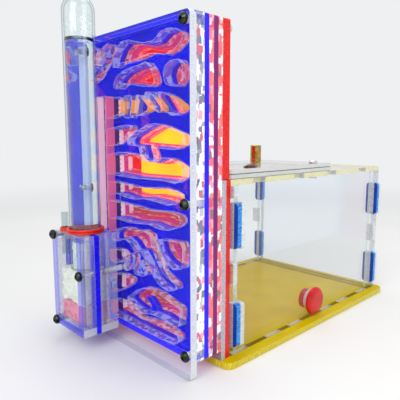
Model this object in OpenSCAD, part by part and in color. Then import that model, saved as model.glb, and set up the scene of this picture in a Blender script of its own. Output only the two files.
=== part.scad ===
// Ant habitat: a layered acrylic nest tower with a water tube and hydration block on its face,
// joined at its back to a clear foraging arena with a swivel hatch in its lid.
// +X is the side with the arena's port, the nest face looks to -Y, and +Z is up.
// The origin is the centre of the yellow base's underside, on the floor.

/* [Nest tower] */
// Width of every nest plate
nest_w = 110; // [106:1:124]
// Height of the nest above the floor
nest_h = 172; // [160:1:190]
// Space under the gallery plates, which only the front plate bridges
foot_h = 8; // [6:1:12]
// Thickness of the front plate
front_t = 4; // [3:0.5:6]
// Thickness of the first clear gallery plate
gallery_t = 5; // [3:0.5:8]
// Thickness of the blue and the purple gallery plates
web_t = 3; // [2:0.5:5]
// Thickness of the clear gallery plates behind them
mid_t = 3; // [2.5:0.5:5]
// Thickness of the red rear cover
cover_t = 5; // [3:0.5:6]
// Thickness of the frosted joint plate and of the red end plate below the cover
joint_t = 3; // [2:0.5:5]
// Inner diameter of the short tube that leads from the nest to the arena
entry_bore = 8; // [7:0.1:9]
// Wall of that tube
entry_wall = 1; // [0.8:0.1:1.5]
// Height of that tube's centre above the gallery plates' underside
entry_rise = 21; // [18:0.5:24]

/* [Bolts] */
// Diameter of every bolt shaft
bolt_d = 3; // [2.5:0.1:3.4]
// Diameter of the domed bolt heads
head_d = 5.5; // [5:0.1:6.4]
// Height of the domed bolt heads
head_h = 2.6; // [1.8:0.1:3]
// Distance from a plate's edges to its bolts
bolt_inset = 3.5; // [3.4:0.1:5]
// Distance across the flats of the nuts
nut_flats = 5; // [4.6:0.1:5.4]
// Thickness of the nuts
nut_t = 2.2; // [1.8:0.1:2.6]

/* [Hydration block] */
// Width of the block
block_w = 33; // [30:0.5:40]
// Height of the block
block_h = 55.6; // [50:0.2:64]
// Height of the block's underside above the floor
block_z = 8.4; // [6:0.2:16]
// Distance from the nest's +X edge to the block
block_inset = 61.5; // [56:0.5:66]
// Thickness of the block's front and rear plates
block_skin = 2; // [1.5:0.1:3]
// Thickness of the block's front frame
block_front_t = 6; // [5:0.5:8]
// Thickness of the block's blue frame
block_blue_t = 3; // [2:0.5:4]
// Thickness of the block's rear frame
block_rear_t = 9; // [8:0.5:12]
// Width of the frames' bars
block_rim = 4.5; // [4:0.1:6]
// Height of the pink sponge in the block
sponge_h = 11; // [6:0.5:16]
// Height of the cotton above the sponge
cotton_h = 19.3; // [12:0.1:24]
// Length of the block's bolts that reaches into the nest
bolt_bite = 7; // [5:0.5:8.5]

/* [Water tube] */
// Outer diameter of the test tube
tube_d = 17.4; // [16:0.1:17.6]
// Wall of the test tube
tube_wall = 1.1; // [0.8:0.1:1.6]
// Length of the test tube
tube_l = 148; // [120:1:170]
// Length of the cotton in the tube's mouth
mouth_cotton_l = 15; // [6:0.5:24]
// Length of the water above that cotton
water_l = 110; // [40:1:120]
// Width of the rubber ring round the tube
seal_w = 1.7; // [1.2:0.1:1.9]
// Height of the rubber rings
seal_h = 2.8; // [1.6:0.1:4]
// Outer diameter of the filling straw
straw_d = 4; // [3.4:0.1:4.6]
// Bore of the filling straw
straw_bore = 2.8; // [2:0.1:3]
// Length of the filling straw
straw_l = 24; // [20:0.5:32]
// Length of the straw above the block
straw_up = 10.5; // [8:0.5:14]

/* [Arena] */
// Length of the arena behind the nest
arena_l = 164; // [160:1:190]
// Height of the arena's top above the floor
arena_h = 96; // [94:1:102]
// Thickness of the arena's walls
wall_t = 3; // [2.6:0.1:4]
// Thickness of the yellow base
base_t = 3.5; // [3:0.1:5]
// How far the base stands out at each side
side_lip = 6; // [4.5:0.1:8]
// How far the base stands out at the far end
end_lip = 4.5; // [3:0.1:8]
// Length of the wall tabs that stand in the base
tab_l = 12.5; // [8:0.5:14]
// Length of the wall tabs that stand in the lid's edges
lid_tab = 10; // [5:0.5:12]
// Height of the blue corner keys
key_h = 23.5; // [18:0.5:26]
// Thickness of the blue corner keys
key_t = 3; // [2:0.1:4]
// How far keys and tabs stand out from the side walls
key_out = 2.5; // [1.5:0.1:3.5]
// Height of the middle tabs of the end walls
lug_h = 12; // [8:0.5:14]
// Diameter of the port in the side wall
port_d = 12.6; // [10:0.1:14]
// Diameter of the port plug's outer flange
flange_d = 17.5; // [15.5:0.1:19]
// Thickness of the port plug's outer flange
flange_t = 3.5; // [3:0.1:4.4]
// Length of the port plug inside the wall
plug_in = 3.5; // [2:0.1:5]
// Height of the port above the floor
port_z = 14; // [13.5:0.1:24]

/* [Lid and hatch] */
// Thickness of the lid
lid_t = 3; // [2.5:0.1:4]
// Width of the hatch
hatch_w = 58; // [52:1:64]
// Length of the hatch
hatch_l = 96; // [84:1:100]
// Thickness of each of the hatch's two layers
hatch_t = 2.5; // [2:0.1:3.5]
// Width of the feeding opening
mouth_w = 36; // [28:1:38]
// Length of the feeding opening
mouth_l = 64; // [50:1:66]
// Distance from the hatch's +X edge to the feeding opening
mouth_inset = 14; // [12.5:0.5:16]
// Diameter of the brass knob
knob_d = 7; // [6:0.1:9]
// Height of the brass knob
knob_h = 11; // [8:0.5:16]
// Diameter of the dark plug in the hatch
vent_d = 5.4; // [4.4:0.1:6]

/* [Hidden] */
$fn = 48;

fit = 0.1;           // loose fit of flat pieces in their slots
turn_fit = 0.06;     // radial fit of round pieces that slide or turn
soft_gap = 0.3;      // space round soft and loosely held pieces
cut = 1;             // how far cutting bodies run past a face

// Places along Y, counted from the nest's front face
y_gallery = front_t;
y_blue = y_gallery + gallery_t;
y_middle = y_blue + web_t;
y_purple = y_middle + mid_t;
y_rear = y_purple + web_t;
y_back = y_rear + mid_t;
y_red = y_back + joint_t;
y_arena = y_red + joint_t;
y_near_keys = y_arena + wall_t;
y_near_in = y_near_keys + key_t;
y_inside = y_near_in + wall_t;
y_end = y_arena + arena_l;
y_far_out = y_end - wall_t;
y_far_keys = y_far_out - key_t;
y_far_in = y_far_keys - wall_t;
block_d = 2 * block_skin + block_front_t + block_blue_t + block_rear_t;
base_y0 = y_back - 0.5;
base_y1 = y_end + end_lip;
centre_y = (base_y0 + base_y1) / 2;

half_w = nest_w / 2;
wall_in = half_w - wall_t;
wall_top = arena_h - lid_t;
bolt_x = half_w - bolt_inset;
low_bolt_z = foot_h + 4;
mid_bolt_z = arena_h - 10;
high_bolt_z = nest_h - bolt_inset - 0.5;
nut_r = nut_flats / 2 / cos(30);

block_x1 = half_w - block_inset;
block_x0 = block_x1 - block_w;
block_top = block_z + block_h;
cavity_x0 = block_x0 + block_rim;
cavity_x1 = block_x1 - block_rim - 0.5;
cavity_z0 = block_z + block_rim;
tube_slot = tube_d + 2 * soft_gap;
tube_x = cavity_x1 - tube_slot / 2;
tube_y = -block_d / 2;
tube_z0 = cavity_z0 + sponge_h + cotton_h + soft_gap;
straw_x = cavity_x0 + straw_d / 2;
straw_y = -block_d + block_skin + block_front_t / 2;
straw_seal_w = 0.85;
left_block_bolt_x = block_x0 + block_rim / 2;
right_block_bolt_x = block_x1 - block_rim / 2 - 0.25;
block_bolts_at = [
    [left_block_bolt_x, block_top - block_rim / 2],
    [left_block_bolt_x, block_z + block_rim / 2],
    [right_block_bolt_x, block_z + 0.62 * block_h]
];

entry_x = 30 * nest_w / 110;
entry_z = foot_h + entry_rise;
entry_r = entry_bore / 2 + entry_wall;

low_key_z = base_t + 4.5 + key_h / 2;
high_key_z = wall_top - 9 - key_h / 2;
near_lug_z = (low_key_z + high_key_z) / 2 + 2;
far_lug_z = near_lug_z - 1;
top_lug_h = 6;
key_w = wall_t + 3 + key_out;
key_x = half_w + key_out - key_w / 2;
tab_places = [0.06, 0.24, 0.375, 0.595, 0.73, 0.9];
lid_tab_places = [0.14, 0.365, 0.59, 0.84];
port_y = y_arena + 79 * arena_l / 164;

hatch_x1 = half_w - 1;
hatch_x0 = hatch_x1 - hatch_w;
hatch_y0 = y_arena + 1;
hatch_y1 = hatch_y0 + hatch_l;
pivot_x = hatch_x1 - 6;
pivot_y = hatch_y1 - 12;
knob_x = hatch_x1 - 0.67 * hatch_w;
knob_y = hatch_y1 - 0.3 * hatch_l;
vent_y = hatch_y0 + 0.23 * hatch_l;
mouth_x1 = hatch_x1 - mouth_inset;
mouth_x0 = mouth_x1 - mouth_w;
mouth_y0 = (hatch_y0 + hatch_y1 - mouth_l) / 2;
mouth_y1 = mouth_y0 + mouth_l;
cover_z = arena_h + hatch_t;
cover_top = cover_z + hatch_t;

// Galleries, drawn on a nest face of this width and height and fitted to the real one
drawn_w = 110;
drawn_h = 164;
column = [-30, -20, 62, 140];    // hydration column: left, right, bottom, top
comb = -19;                      // chamber side of the thin wall beside the column
finger_x = -27;                  // reach of the blue plate's fingers over the column
fingers = [[122, 126], [107, 110], [92, 95], [81, 83]];
panel = [-6, 45, 78, 138];       // yellow sheet behind the brood chambers
slit_h = 0.8;
slit_pitch = 2.6;
slit_depth = 1.2;

upper_rows = [
    [[-44, 150], [-36, 148.5], [-29, 151], [-22, 156.5], [-17, 162], [-13, 166.5], [-16, 168.3], [-21, 167],
     [-26, 161.5], [-32, 157], [-40, 155], [-45, 153.5]],
    [[-46, 159], [-38, 158.5], [-31, 161], [-26, 165.5], [-30, 168], [-38, 168.3], [-46, 167]],
    [[-13, 154], [-5, 156.3], [3, 156.3], [12, 156.8], [20, 158], [27, 157.3], [33, 155.8], [40, 157.5],
     [45, 160.5], [46, 163.5], [42, 166], [36, 167.5], [30, 166.8], [24, 163.5], [17, 163.5], [10, 165],
     [4, 166.8], [-3, 167], [-8, 164.5], [-12, 159.5]],
    [[-12.5, 144], [-8, 143], [-2, 145.5], [6, 144.3], [14, 142.8], [22, 142], [25, 144], [22.5, 150],
     [18, 154.3], [12, 153.3], [4, 152.8], [-3, 151.5], [-9, 149]],
    [[31.5, 147], [33, 142.5], [37, 141], [42, 140.5], [45, 143], [45.5, 149], [43, 152.5], [37, 152.5],
     [33, 150.5]]
];
open_rows = [
    [[-25, 127.3], [-18, 127.5], [-10, 129], [-5, 130], [-4.5, 138.5], [-18, 139], [-25, 139]],
    [[-25, 112.2], [-18, 112.3], [-10, 113], [-2, 117.5], [4, 121], [3, 123.5], [-6, 123], [-18, 121.5],
     [-25, 121.4]],
    [[-25, 96.4], [-18, 96.5], [-8, 95.8], [4, 95.3], [20, 95.5], [30, 95.6], [40, 94.8], [45, 97.5],
     [45.5, 103], [40, 105.3], [34, 106.8], [27, 106.6], [22, 104.5], [13, 104.5], [8, 107.6], [0, 108.6],
     [-8, 108.8], [-18, 107], [-25, 107]],
    [[-25, 84.4], [-18, 84.5], [-10, 85.5], [-3, 84.3], [5, 83.8], [15, 85], [25, 84.5], [34, 83.5],
     [41, 85], [42, 89], [36, 90.8], [28, 91.8], [18, 90.8], [8, 90.3], [-4, 91.3], [-18, 91.8], [-25, 91.8]],
    [[-25, 70.5], [-18, 70.5], [-8, 71], [0, 70.3], [8, 70.8], [18, 71.8], [27, 70.5], [34, 70.8], [40, 73],
     [44, 76], [42, 79], [34, 80], [24, 79.3], [14, 79], [6, 79.8], [-4, 80], [-18, 80.8], [-25, 80.8]]
];
middle_rows = [
    [[-2.5, 127.5], [3.5, 127], [6, 138.8], [-1.5, 138.8]],
    [[7, 127.5], [14, 129], [21, 131], [15, 136], [11, 138.8], [9.5, 138.8]],
    [[14.5, 139.3], [21, 139.5], [31, 130], [28, 128.8], [22, 131.5]],
    [[24, 139.2], [31, 138.5], [39, 135], [45, 131.5], [44.5, 128.5], [38, 127], [33, 129.5]],
    [[-2, 113.2], [8, 112.6], [30, 111.5], [40, 111], [45, 113], [46, 118], [40, 119.8], [32, 122.3],
     [25, 123.6], [18, 123], [11, 120.5], [3, 117.5]],
    [[10, 114.5], [13, 106], [20, 103], [24, 106.5], [20, 114.5]]
];
lower_rows = [
    [[-18, 57], [-11, 58], [-4, 60.5], [1, 58.5], [5, 55], [11, 55.5], [16, 51], [21, 45], [26, 41],
     [33, 39.3], [39, 41], [41, 43.5], [35, 45.5], [29, 48], [24, 54], [20.5, 60], [19, 66], [13, 67.5],
     [5, 66.3], [-4, 66.8], [-12, 65], [-17, 61]],
    [[23.5, 64.5], [25.5, 58], [31, 53.5], [38, 51.5], [44.5, 53], [45, 62], [44, 66], [35, 65.5], [28, 65]],
    [[-20, 45], [-13, 44], [-7, 47], [-5, 51], [-10, 52.8], [-20, 51.5]],
    [[-6, 41.5], [-1, 42.5], [3, 47.5], [4.5, 51.5], [1, 53], [-3, 51], [-5, 46]],
    [[3, 41.8], [15.5, 42.5], [10.5, 50], [8, 50.3]],
    [[-21, 25.5], [-13, 27], [-6, 31], [0, 35], [1, 37.8], [-8, 38.5], [-20, 36.5]],
    [[-5, 25], [2, 22.5], [10, 21], [19, 22.8], [28, 23.2], [36, 22], [42, 22.5], [43, 32], [36, 33.5],
     [28, 35.4], [20, 36.3], [12, 35.5], [5, 32], [0, 28.3]],
    [[-20, 12.4], [-6, 12], [10, 11.6], [28, 11.6], [38, 12], [41.5, 14.5], [41, 17.5], [34, 18.8],
     [26, 19.4], [18, 18.8], [11, 17.3], [4, 18.8], [-2, 21.5], [-10, 22], [-20, 20.5]]
];
finger_land = [[8, 28.5], [13.4, 24.8], [13, 20], [21, 20], [18.6, 25.2], [13, 29.5]];

function fit_x(x) = x * nest_w / drawn_w;
function fit_z(z) = foot_h + (z - 8) * (nest_h - foot_h) / drawn_h;
function fitted(points) = [for (p = points) [fit_x(p[0]), fit_z(p[1])]];

// The habitat's own frame, from distances counted from the nest's front face
module in_place() translate([0, -centre_y, 0]) children();

// A flat outline in X and Z, given thickness from y towards the back
module slab(y, t) translate([0, y + t, 0]) rotate([90, 0, 0]) linear_extrude(height = t) children();

module box(x0, x1, y0, y1, z0, z1) translate([x0, y0, z0]) cube([x1 - x0, y1 - y0, z1 - z0]);

module rod_y(x, z, y0, y1, r) translate([x, y0, z]) rotate([-90, 0, 0]) cylinder(h = y1 - y0, r = r);

module rod_x(y, z, x0, x1, r) translate([x0, y, z]) rotate([0, 90, 0]) cylinder(h = x1 - x0, r = r);

module rod_z(x, y, z0, z1, r) translate([x, y, z0]) cylinder(h = z1 - z0, r = r);

// A plate in X and Z with round corners
module round_slab(x0, x1, z0, z1, y, t, r) {
    box(x0 + r, x1 - r, y, y + t, z0, z1);
    box(x0, x1, y, y + t, z0 + r, z1 - r);
    for (x = [x0 + r, x1 - r]) for (z = [z0 + r, z1 - r]) rod_y(x, z, y, y + t, r);
}

// A plate in X and Y with round corners
module round_sheet(x0, x1, y0, y1, z, t, r) {
    box(x0 + r, x1 - r, y0, y1, z, z + t);
    box(x0, x1, y0 + r, y1 - r, z, z + t);
    for (x = [x0 + r, x1 - r]) for (y = [y0 + r, y1 - r]) rod_z(x, y, z, z + t, r);
}

module dome_head(r, h) {
    cylinder(h = h * 0.3, r = r);
    translate([0, 0, h * 0.3]) rotate_extrude() intersection() {
        translate([0, h * 0.7 - r * 1.15]) circle(r = r * 1.15);
        square([r * 0.97, h]);
    }
}

module bolt_y(x, z, y1) {
    rod_y(x, z, -fit, y1, bolt_d / 2);
    translate([x, 0, z]) rotate([90, 0, 0]) difference() {
        dome_head(head_d / 2, head_h);
        translate([0, 0, head_h * 0.55]) cylinder(h = head_h, r = bolt_d / 2 * 0.66, $fn = 6);
    }
}

module bolt_holes(y0, y1) {
    for (x = [-bolt_x, bolt_x]) for (z = [low_bolt_z, mid_bolt_z, high_bolt_z])
        rod_y(x, z, y0 - cut, y1 + cut, bolt_d / 2 + fit);
}

module block_bolt_holes(y0, y1) {
    for (p = block_bolts_at) rod_y(p[0], p[1], y0, y1, bolt_d / 2 + fit);
}

// Chamber outlines with soft corners, narrowed by the given margin
module chamber_rows(rows, shrink) {
    for (r = rows) offset(r = 1.6 - shrink, $fn = 10) offset(delta = -1.6) polygon(fitted(r));
}

module all_chambers(shrink) {
    chamber_rows(upper_rows, shrink);
    chamber_rows(lower_rows, shrink);
    difference() {
        union() {
            chamber_rows(open_rows, shrink);
            chamber_rows(middle_rows, shrink);
        }
        translate([fit_x(-60), 0]) square([fit_x(comb) - fit_x(-60), nest_h]);
    }
}

module column_outline(gap) {
    translate([fit_x(column[0]) + gap, fit_z(column[2]) + gap])
        square([fit_x(column[1]) - fit_x(column[0]) - 2 * gap, fit_z(column[3]) - fit_z(column[2]) - 2 * gap]);
}

// Strips of the blue plate that run over the hydration column, widened by a gap for the sponge
module finger_strips(gap) {
    for (f = fingers)
        translate([fit_x(finger_x) - gap, fit_z(f[0]) - gap])
            square([fit_x(column[1]) - fit_x(finger_x) + cut + gap, fit_z(f[1]) - fit_z(f[0]) + 2 * gap]);
}

// Fine slits that let damp air pass from the sponge to the chambers
module comb_slits() {
    for (r = [[127.5, 139], [112.3, 121.5], [96.5, 107], [84.5, 91.8], [70.5, 80.8]])
        for (z = [r[0] + 2 : slit_pitch : r[1] - 2])
            translate([fit_x(column[1]) - 0.5, fit_z(z)])
                square([fit_x(comb) - fit_x(column[1]) + 1, slit_h]);
}

module gallery_plate(y, t, shrink) {
    difference() {
        round_slab(-half_w, half_w, foot_h, nest_h, y, t, 1.2);
        slab(y - cut, t + 2 * cut) all_chambers(shrink);
        bolt_holes(y, y + t);
        children();
    }
}

module column_cut(y, t) slab(y - cut, t + 2 * cut) column_outline(0);

module front_plate() {
    color("lightcyan", 0.35) in_place() difference() {
        round_slab(-half_w, half_w, 0, nest_h, 0, front_t, 2.5);
        bolt_holes(0, front_t);
        block_bolt_holes(-cut, front_t + cut);
    }
}

module gallery_front() {
    color("lightcyan", 0.35) in_place() difference() {
        union() {
            gallery_plate(y_gallery, gallery_t, 0) column_cut(y_gallery, gallery_t);
            rod_y(block_bolts_at[2][0], block_bolts_at[2][1], y_gallery, y_blue, bolt_d / 2 + 2);
        }
        block_bolt_holes(y_gallery - cut, bolt_bite + fit);
    }
}

module gallery_blue() {
    color("mediumblue") in_place() {
        gallery_plate(y_blue, web_t, 0.5) column_cut(y_blue, web_t);
        slab(y_blue, web_t) finger_strips(0);
        slab(y_blue, web_t) polygon(fitted(finger_land));
    }
}

module gallery_middle() {
    color("lightcyan", 0.35) in_place() gallery_plate(y_middle, mid_t, 0.9) {
        column_cut(y_middle, mid_t);
        slab(y_middle - cut, cut + slit_depth) comb_slits();
    }
}

module gallery_purple() {
    color("mediumorchid") in_place() gallery_plate(y_purple, web_t, 1.5) column_cut(y_purple, web_t);
}

module gallery_rear() {
    color("lightcyan", 0.35) in_place() gallery_plate(y_rear, mid_t, 2.2) {
        column_cut(y_rear, mid_t);
        slab(y_rear - cut, mid_t + 2 * cut) panel_outline();
        entry_hole(y_rear, y_back);
    }
}

module panel_outline() {
    translate([fit_x(panel[0]), fit_z(panel[2])])
        square([fit_x(panel[1]) - fit_x(panel[0]), fit_z(panel[3]) - fit_z(panel[2])]);
}

module floor_panel() {
    color("gold") in_place() slab(y_rear, mid_t) panel_outline();
}

// Plaster-pink sponge in the column, notched for the blue fingers
module hydration_bar() {
    color("hotpink") in_place() difference() {
        slab(y_blue, y_back - y_blue) column_outline(soft_gap);
        slab(y_blue - cut, web_t + cut + soft_gap) finger_strips(soft_gap);
    }
}

module rear_cover() {
    color("red") in_place() difference() {
        round_slab(-half_w, half_w, arena_h, nest_h, y_back, cover_t, 1.2);
        bolt_holes(y_back, y_back + cover_t);
    }
}

module entry_hole(y0, y1) rod_y(entry_x, entry_z, y0 - cut, y1 + cut, entry_r);

module joint_plate() {
    color("gainsboro") in_place() difference() {
        box(-half_w, half_w, y_back, y_red, base_t, arena_h);
        bolt_holes(y_back, y_red);
        entry_hole(y_back, y_red);
    }
}

module arena_red_plate() {
    color("crimson") in_place() difference() {
        box(-half_w, half_w, y_red, y_arena, base_t, arena_h);
        for (x = [-bolt_x, bolt_x]) for (z = [low_bolt_z, mid_bolt_z])
            rod_y(x, z, y_red - cut, y_arena + cut, nut_r + fit);
        entry_hole(y_red, y_arena);
    }
}

module entry_tube() {
    color("azure", 0.35) in_place() difference() {
        rod_y(entry_x, entry_z, y_back, y_inside + 2, entry_r - turn_fit);
        rod_y(entry_x, entry_z, y_back - cut, y_inside + 3, entry_bore / 2);
    }
}

module tower_bolts() {
    color("dimgray") in_place() for (x = [-bolt_x, bolt_x]) {
        bolt_y(x, low_bolt_z, y_arena - 0.3);
        bolt_y(x, mid_bolt_z, y_arena - 0.3);
        bolt_y(x, high_bolt_z, y_back + cover_t + nut_t + 0.6);
    }
}

module nut_y(x, z, y) {
    translate([x, y, z]) rotate([-90, 0, 0]) difference() {
        cylinder(h = nut_t, r = nut_r, $fn = 6);
        translate([0, 0, -cut]) cylinder(h = nut_t + 2 * cut, r = bolt_d / 2 + 0.02);
    }
}

module tower_nuts() {
    color("silver") in_place() for (x = [-bolt_x, bolt_x]) {
        nut_y(x, low_bolt_z, y_red);
        nut_y(x, mid_bolt_z, y_red);
        nut_y(x, high_bolt_z, y_back + cover_t);
    }
}

// One layer of the hydration block; the frames are open inside and notched for the tube and the straw
module block_layer(y, t, framed, straw) {
    difference() {
        box(block_x0, block_x1, y, y + t, block_z, block_top);
        if (framed) {
            box(cavity_x0, cavity_x1, y - cut, y + t + cut, cavity_z0, block_top - block_rim);
            box(tube_x - tube_slot / 2, tube_x + tube_slot / 2, y - cut, y + t + cut, cavity_z0, block_top + cut);
        }
        if (straw) rod_z(straw_x, straw_y, cavity_z0, block_top + cut, straw_d / 2 + turn_fit);
        block_bolt_holes(y - cut, y + t + cut);
    }
}

block_y = [
    -block_d,
    -block_d + block_skin,
    -block_d + block_skin + block_front_t,
    -block_skin - block_rear_t,
    -block_skin
];

module block_cover() {
    color("lightcyan", 0.35) in_place() block_layer(block_y[0], block_skin, false, false);
}

module block_front_frame() {
    color("lightcyan", 0.35) in_place() block_layer(block_y[1], block_front_t, true, true);
}

module block_blue_frame() {
    color("mediumblue") in_place() block_layer(block_y[2], block_blue_t, true, false);
}

module block_rear_frame() {
    color("lightcyan", 0.35) in_place() block_layer(block_y[3], block_rear_t, true, false);
}

module block_rear_plate() {
    color("lightcyan", 0.35) in_place() block_layer(block_y[4], block_skin, false, false);
}

module block_fill(z0, z1) {
    box(cavity_x0 + soft_gap, cavity_x1 - soft_gap, block_y[1] + soft_gap, -block_skin - soft_gap, z0, z1);
}

module pink_sponge() {
    color("palevioletred") in_place() block_fill(cavity_z0, cavity_z0 + sponge_h);
}

module cotton_wad() {
    color("white") in_place() block_fill(cavity_z0 + sponge_h, cavity_z0 + sponge_h + cotton_h);
}

module block_bolts() {
    color("dimgray") in_place() for (p = block_bolts_at) translate([0, -block_d, 0])
        bolt_y(p[0], p[1], block_d + bolt_bite);
}

// Rubber ring with soft edges, standing on the block
module seal_ring(x, y, bore_r, w, h) {
    e = w * 0.3;
    translate([x, y, block_top]) rotate_extrude() translate([bore_r + turn_fit, 0]) polygon([
        [0, 0], [w, 0], [w, h - e], [w - e * 0.3, h - e * 0.3], [w - e, h], [e, h], [e * 0.3, h - e * 0.3],
        [0, h - e]
    ]);
}

module tube_seal() {
    color("orangered") in_place() seal_ring(tube_x, tube_y, tube_d / 2, seal_w, seal_h);
}

module straw_seal() {
    color("orangered") in_place() seal_ring(straw_x, straw_y, straw_d / 2, straw_seal_w, seal_h * 0.7);
}

// Inside or outside of the round-ended tube, standing on its open end
module tube_body(r, z0, z1) {
    translate([tube_x, tube_y, z0]) cylinder(h = z1 - z0 - r, r = r);
    translate([tube_x, tube_y, z1 - r]) sphere(r = r);
}

module test_tube() {
    color("azure", 0.35) in_place() difference() {
        tube_body(tube_d / 2, tube_z0, tube_z0 + tube_l);
        tube_body(tube_d / 2 - tube_wall, tube_z0 - cut, tube_z0 + tube_l - tube_wall);
    }
}

module tube_fill(z0, z1) rod_z(tube_x, tube_y, z0, z1, tube_d / 2 - tube_wall - 0.05);

module tube_cotton() {
    color("white") in_place() tube_fill(tube_z0 + 0.5, tube_z0 + 0.5 + mouth_cotton_l);
}

module tube_water() {
    color("lightblue", 0.4) in_place()
        tube_fill(tube_z0 + 0.5 + mouth_cotton_l, tube_z0 + 0.5 + mouth_cotton_l + water_l);
}

module fill_straw() {
    color("azure", 0.35) in_place() difference() {
        rod_z(straw_x, straw_y, block_top + straw_up - straw_l, block_top + straw_up, straw_d / 2);
        rod_z(straw_x, straw_y, block_z, block_top + straw_up + cut, straw_bore / 2);
    }
}

module arena_base() {
    color("goldenrod") in_place() difference() {
        round_sheet(-half_w - side_lip, half_w + side_lip, base_y0, base_y1, 0, base_t, 5);
        for (x = [-half_w, wall_in]) for (p = tab_places)
            box(x - fit, x + wall_t + fit, tab_y(p) - tab_l / 2 - fit, tab_y(p) + tab_l / 2 + fit,
                -cut, base_t + cut);
    }
}

function tab_y(p) = y_arena + p * arena_l;

// A tab on an end wall that stands out past the side wall, with its free corners rounded
module end_lug(y, z, h) {
    x1 = half_w + key_out;
    r = 1.2;
    for (m = [0, 1]) mirror([m, 0, 0]) {
        box(wall_in - cut, x1 - r, y, y + wall_t, z - h / 2, z + h / 2);
        box(wall_in - cut, x1, y, y + wall_t, z - h / 2 + r, z + h / 2 - r);
        for (e = [-1, 1]) rod_y(x1 - r, z + e * (h / 2 - r), y, y + wall_t, r);
    }
}

module end_wall(y) box(-wall_in, wall_in, y, y + wall_t, base_t, wall_top);

module near_wall() {
    color("lightcyan", 0.35) in_place() difference() {
        union() {
            end_wall(y_arena);
            end_lug(y_arena, near_lug_z, lug_h);
            end_lug(y_arena, wall_top - top_lug_h / 2, top_lug_h);
        }
        entry_hole(y_arena, y_near_keys);
    }
}

module near_inner_wall() {
    color("lightcyan", 0.35) in_place() difference() {
        union() {
            end_wall(y_near_in);
            for (z = [low_key_z, high_key_z]) end_lug(y_near_in, z, key_h);
        }
        entry_hole(y_near_in, y_inside);
    }
}

module far_wall() {
    color("lightcyan", 0.35) in_place() {
        end_wall(y_far_in);
        end_lug(y_far_in, far_lug_z, lug_h);
    }
}

module far_outer_wall() {
    color("lightcyan", 0.35) in_place() {
        end_wall(y_far_out);
        for (z = [low_key_z, high_key_z]) end_lug(y_far_out, z, key_h);
    }
}

// Notch in a side wall for a tab or a key
module wall_notch(x0, y0, y1, z, h) {
    box(x0 - cut, x0 + wall_t + cut, y0, y1, z - h / 2 - fit, z + h / 2 + fit);
}

module side_wall(x0, port) {
    difference() {
        union() {
            box(x0, x0 + wall_t, y_arena, y_end, base_t, wall_top);
            for (p = tab_places)
                box(x0, x0 + wall_t, tab_y(p) - tab_l / 2, tab_y(p) + tab_l / 2, 0.2, base_t + cut);
            for (p = lid_tab_places)
                box(x0, x0 + wall_t, tab_y(p) - lid_tab / 2, tab_y(p) + lid_tab / 2, wall_top - cut, arena_h - 0.1);
        }
        wall_notch(x0, y_arena - cut, y_near_keys + fit, near_lug_z, lug_h);
        wall_notch(x0, y_arena - cut, y_near_keys + fit, wall_top, top_lug_h * 2);
        wall_notch(x0, y_far_in - fit, y_far_keys + fit, far_lug_z, lug_h);
        for (z = [low_key_z, high_key_z]) {
            wall_notch(x0, y_near_keys - fit, y_inside + fit, z, key_h);
            wall_notch(x0, y_far_keys - fit, y_end + cut, z, key_h);
        }
        if (port) rod_x(port_y, port_z, x0 - cut, x0 + wall_t + cut, port_d / 2);
    }
}

module right_wall() {
    color("lightcyan", 0.35) in_place() side_wall(wall_in, true);
}

module left_wall() {
    color("lightcyan", 0.35) in_place() side_wall(-half_w, false);
}

// Round-ended blue keys between an end wall's two sheets, through the notches of the side walls
module keys_at(y) {
    for (s = [-1, 1]) for (z = [low_key_z, high_key_z])
        round_slab(s * key_x - key_w / 2, s * key_x + key_w / 2, z - key_h / 2, z + key_h / 2, y, key_t, 2.4);
}

module near_keys() {
    color("dodgerblue") in_place() keys_at(y_near_keys);
}

module far_keys() {
    color("dodgerblue") in_place() keys_at(y_far_keys);
}

// The feeding opening under the hatch
module feeding_hole(z, t) {
    round_sheet(mouth_x0, mouth_x1, mouth_y0, mouth_y1, z - cut, t + 2 * cut, 3);
}

module pivot_hole(z0, z1) rod_z(pivot_x, pivot_y, z0 - cut, z1 + cut, bolt_d / 2 + turn_fit);

module arena_lid() {
    color("lightyellow", 0.5) in_place() difference() {
        box(-half_w, half_w, y_arena + soft_gap, y_end, wall_top, arena_h);
        for (s = [-1, 1]) for (p = lid_tab_places) {
            x = s < 0 ? -half_w - cut : wall_in - 2 * fit;
            box(x, x + wall_t + cut + 2 * fit, tab_y(p) - lid_tab / 2 - 2 * fit, tab_y(p) + lid_tab / 2 + 2 * fit,
                wall_top - cut, arena_h + cut);
        }
        feeding_hole(wall_top, lid_t);
        pivot_hole(wall_top, arena_h);
    }
}

module hatch_frame() {
    color("whitesmoke", 0.5) in_place() difference() {
        round_sheet(hatch_x0, hatch_x1, hatch_y0, hatch_y1, arena_h, hatch_t, 1.5);
        feeding_hole(arena_h, hatch_t);
        pivot_hole(arena_h, cover_z);
    }
}

// Screw up through the lid, with a bright domed nut over the hatch
module hatch_screw() {
    color("silver") in_place() {
        rod_z(pivot_x, pivot_y, wall_top - 1.4, cover_top + 0.1, bolt_d / 2);
        rod_z(pivot_x, pivot_y, wall_top - 1.5, wall_top - 0.1, bolt_d / 2 + 1.2);
        translate([pivot_x, pivot_y, cover_top + 0.1]) dome_head(head_d / 2, head_h * 0.8);
    }
}

module hatch_cover() {
    color("whitesmoke", 0.5) in_place() difference() {
        round_sheet(hatch_x0, hatch_x1, hatch_y0, hatch_y1, cover_z, hatch_t, 1.5);
        pivot_hole(cover_z, cover_top);
        rod_z(pivot_x, vent_y, cover_z - cut, cover_top + cut, vent_d / 2 + turn_fit);
        rod_z(knob_x, knob_y, cover_z - cut, cover_top + cut, bolt_d / 2);
    }
}

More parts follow.
